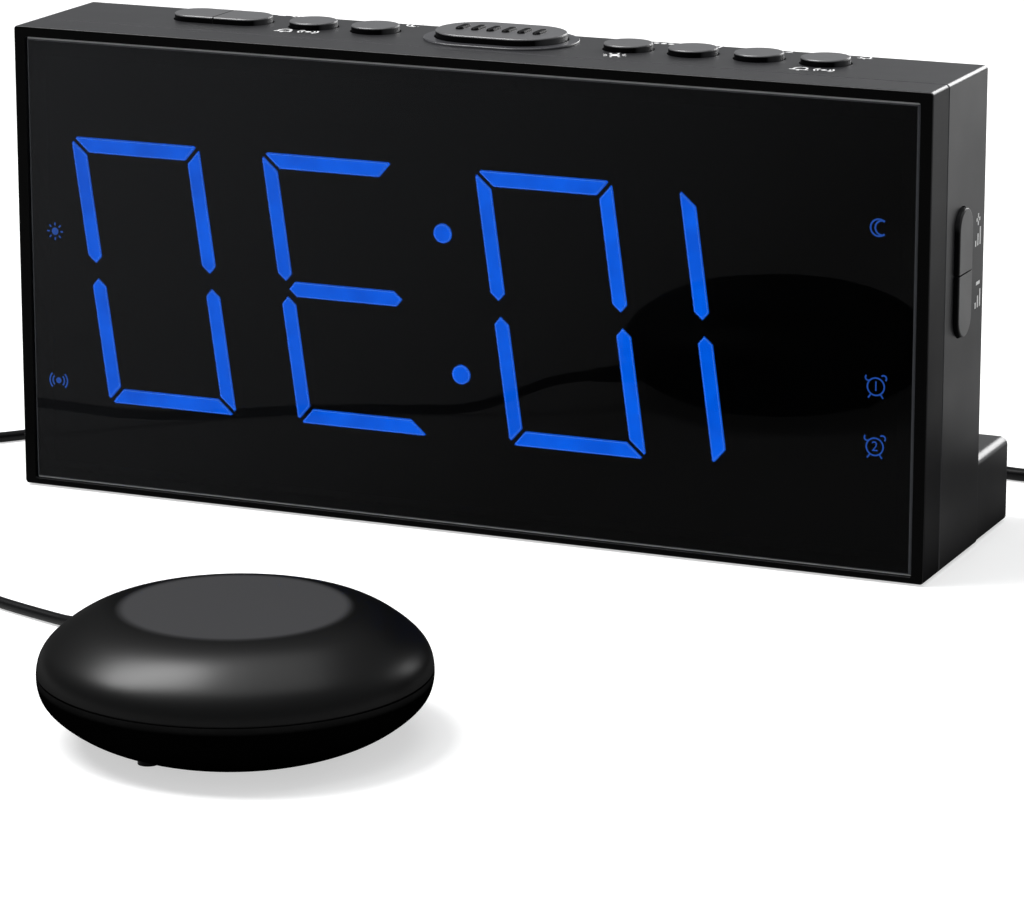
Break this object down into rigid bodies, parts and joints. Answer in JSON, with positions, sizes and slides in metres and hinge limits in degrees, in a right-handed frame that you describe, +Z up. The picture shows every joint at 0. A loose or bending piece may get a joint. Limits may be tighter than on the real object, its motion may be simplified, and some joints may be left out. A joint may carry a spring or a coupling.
{
  "type": "loud alarm clock with bed shaker",
  "caption": "Wide digital alarm clock with a smoked display, top keys, snooze bar, side volume keys, mains lead and a wired round bed shaker.",
  "frame": {"origin": "centre of the clock's base, on the surface that it stands on", "axes": "+X to the clock's right as a viewer faces the display, +Y from the display to the back, +Z up"},
  "size_m": [0.3216, 0.283, 0.1006],
  "materials": {
    "casing": "fine satin black moulding",
    "lens": "smoked clear panel, polished",
    "mask": "dull black",
    "lit": "lit blue diffuser",
    "unlit": "dark diffuser",
    "reflector": "white moulding",
    "board": "green lacquered laminate",
    "leds": "clear blue lamp chips",
    "keys": "satin dark grey keys",
    "chips": "moulded black",
    "jack": "moulded black",
    "steel": "plated steel",
    "speaker_frame": "black pressed steel",
    "cone": "pressed paper",
    "magnet": "sintered magnet",
    "cells": "plain sleeved cells",
    "feet": "soft black rubber",
    "cord": "black flexible sheath",
    "plug": "soft black moulding",
    "adapter": "fine black moulding",
    "blades": "plated brass",
    "shaker": "polished black moulding",
    "weight": "turned steel",
    "ribbon": "flat grey cable",
    "clamp": "bent steel strip"
  },
  "bodies": {
    "clock": {"adapter_blades": "blades", "adapter_body": "adapter", "backup_cells": "cells", "battery_contacts": "steel", "board_chips": "chips", "board_screws": "steel", "case_screws": "steel", "colon_dots": "lit", "cord_grommet": "feet", "display_board": "board", "display_lens": "lens", "display_mask": "mask", "front_bezel": "casing", "indicator_windows": "lit", "key_board": "board", "key_switches": "chips", "lit_segments": "lit", "main_board": "board", "motor_clamp": "clamp", "power_coil": "cord", "power_cord": "cord", "power_jack": "jack", "power_plug": "plug", "rear_housing": "casing", "reflector": "reflector", "ribbon_cable": "ribbon", "rubber_feet": "feet", "segment_leds": "leds", "shaker_base_shell": "shaker", "shaker_coil": "cord", "shaker_cord": "cord", "shaker_jack": "jack", "shaker_motor": "steel", "shaker_pad": "feet", "shaker_plug": "plug", "shaker_screws": "steel", "shaker_top_shell": "shaker", "side_key_board": "board", "side_key_switches": "chips", "snooze_surround": "keys", "speaker_cone": "cone", "speaker_frame": "speaker_frame", "speaker_magnet": "magnet", "unlit_segments": "unlit"},
    "left_key_1": {"left_key_1": "keys"},
    "left_key_2": {"left_key_2": "keys"},
    "right_key_1": {"right_key_1": "keys"},
    "right_key_2": {"right_key_2": "keys"},
    "right_key_3": {"right_key_3": "keys"},
    "right_key_4": {"right_key_4": "keys"},
    "pair_key_left": {"pair_key_left": "keys"},
    "pair_key_right": {"pair_key_right": "keys"},
    "snooze_button": {"snooze_button": "keys"},
    "volume_up_key": {"volume_up_key": "keys"},
    "volume_down_key": {"volume_down_key": "keys"},
    "battery_cover": {"battery_door": "casing"},
    "shaker_rotor": {"motor_shaft": "steel", "eccentric_weight": "weight"}
  },
  "joints": [
    {"name": "left_key_1_press", "type": "slide", "parent": "clock", "child": "left_key_1", "axis": [0, 0, -1], "range_m": [0, 0.0005], "stiffness_N_per_m": 400, "springref_m": -0.0005},
    {"name": "left_key_2_press", "type": "slide", "parent": "clock", "child": "left_key_2", "axis": [0, 0, -1], "range_m": [0, 0.0005], "stiffness_N_per_m": 400, "springref_m": -0.0005},
    {"name": "right_key_1_press", "type": "slide", "parent": "clock", "child": "right_key_1", "axis": [0, 0, -1], "range_m": [0, 0.0005], "stiffness_N_per_m": 400, "springref_m": -0.0005},
    {"name": "right_key_2_press", "type": "slide", "parent": "clock", "child": "right_key_2", "axis": [0, 0, -1], "range_m": [0, 0.0005], "stiffness_N_per_m": 400, "springref_m": -0.0005},
    {"name": "right_key_3_press", "type": "slide", "parent": "clock", "child": "right_key_3", "axis": [0, 0, -1], "range_m": [0, 0.0005], "stiffness_N_per_m": 400, "springref_m": -0.0005},
    {"name": "right_key_4_press", "type": "slide", "parent": "clock", "child": "right_key_4", "axis": [0, 0, -1], "range_m": [0, 0.0005], "stiffness_N_per_m": 400, "springref_m": -0.0005},
    {"name": "pair_key_left_press", "type": "slide", "parent": "clock", "child": "pair_key_left", "axis": [0, 0, -1], "range_m": [0, 0.0005], "stiffness_N_per_m": 400, "springref_m": -0.0005},
    {"name": "pair_key_right_press", "type": "slide", "parent": "clock", "child": "pair_key_right", "axis": [0, 0, -1], "range_m": [0, 0.0005], "stiffness_N_per_m": 400, "springref_m": -0.0005},
    {"name": "snooze_button_press", "type": "slide", "parent": "clock", "child": "snooze_button", "axis": [0, 0, -1], "range_m": [0, 0.0005], "stiffness_N_per_m": 800, "springref_m": -0.0005},
    {"name": "volume_up_key_press", "type": "slide", "parent": "clock", "child": "volume_up_key", "axis": [-1, 0, 0], "range_m": [0, 0.0005], "stiffness_N_per_m": 400, "springref_m": -0.0005},
    {"name": "volume_down_key_press", "type": "slide", "parent": "clock", "child": "volume_down_key", "axis": [-1, 0, 0], "range_m": [0, 0.0005], "stiffness_N_per_m": 400, "springref_m": -0.0005},
    {"name": "battery_door_slide", "type": "slide", "parent": "clock", "child": "battery_cover", "axis": [0, 1, 0], "range_m": [0, 0.012]},
    {"name": "motor_spin", "type": "hinge", "parent": "clock", "child": "shaker_rotor", "pos_m": [0.0272, -0.1648, 0.0112], "axis": [1, 0, 0], "continuous": true}
  ]
}
